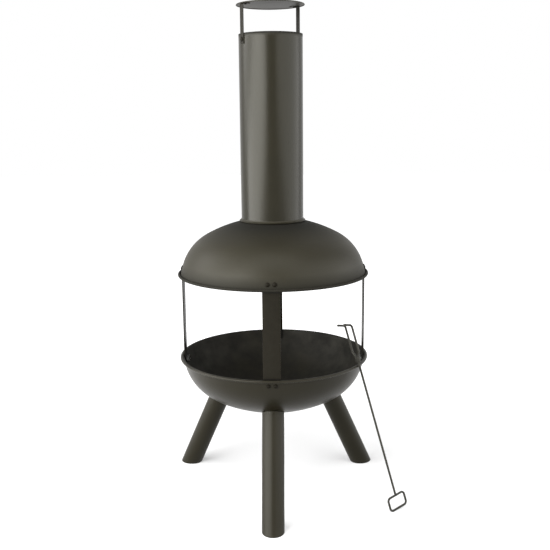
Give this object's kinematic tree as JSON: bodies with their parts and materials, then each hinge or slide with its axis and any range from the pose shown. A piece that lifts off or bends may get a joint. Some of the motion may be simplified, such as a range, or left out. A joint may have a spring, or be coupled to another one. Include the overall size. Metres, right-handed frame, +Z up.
{
  "type": "garden stove",
  "caption": "Round garden stove with an open fire bowl on splayed legs, a dome hood on flat uprights, a chimney pipe with rain cap, and a leaning poker.",
  "frame": {"origin": "the middle of the front foot's sole, on the ground; the stove's upright axis stands 266.6 mm behind it", "axes": "+Z up along the chimney, -Y towards the front leg and the front upright, +X to the right as seen from the front"},
  "size_m": [0.5783, 0.528, 1.1821],
  "materials": {
    "coat_shell": "satin heat-proof powder coat, warm anthracite",
    "coat_bowl": "satin heat-proof powder coat, warm anthracite",
    "coat_frame": "matt heat-proof powder coat, dark anthracite",
    "bolt_black": "blackened steel",
    "zinc": "zinc-plated steel",
    "poker_steel": "satin black-grey coat on steel wire"
  },
  "bodies": {
    "stove": {"bowl": "coat_bowl", "dome": "coat_shell", "dome_neck": "coat_frame", "upright_front": "coat_frame", "upright_right": "coat_frame", "upright_rear": "coat_frame", "upright_left": "coat_frame", "dome_bolts": "bolt_black", "dome_nuts": "zinc", "bowl_bolts": "bolt_black", "bowl_nuts": "zinc", "leg_front": "coat_frame", "leg_right": "coat_frame", "leg_left": "coat_frame", "leg_plates": "zinc", "leg_bolts": "zinc", "leg_washers": "zinc"},
    "chimney": {"chimney_pipe": "coat_shell", "pipe_flange": "coat_shell", "cap_strap_right": "coat_frame", "cap_strap_left": "coat_frame", "strap_bolts": "bolt_black", "strap_nuts": "zinc", "rain_cap": "coat_shell", "cap_rivets": "bolt_black"},
    "poker": {"poker_rod": "poker_steel", "poker_handle": "poker_steel", "poker_prong_right": "poker_steel", "poker_prong_left": "poker_steel"}
  },
  "joints": [
    {"name": "chimney_lift", "type": "slide", "parent": "stove", "child": "chimney", "axis": [0, 0, 1], "range_m": [0, 0.06]},
    {"name": "poker_lift", "type": "slide", "parent": "stove", "child": "poker", "axis": [0.62, -0.34, 0.7071], "range_m": [0, 0.3]}
  ]
}
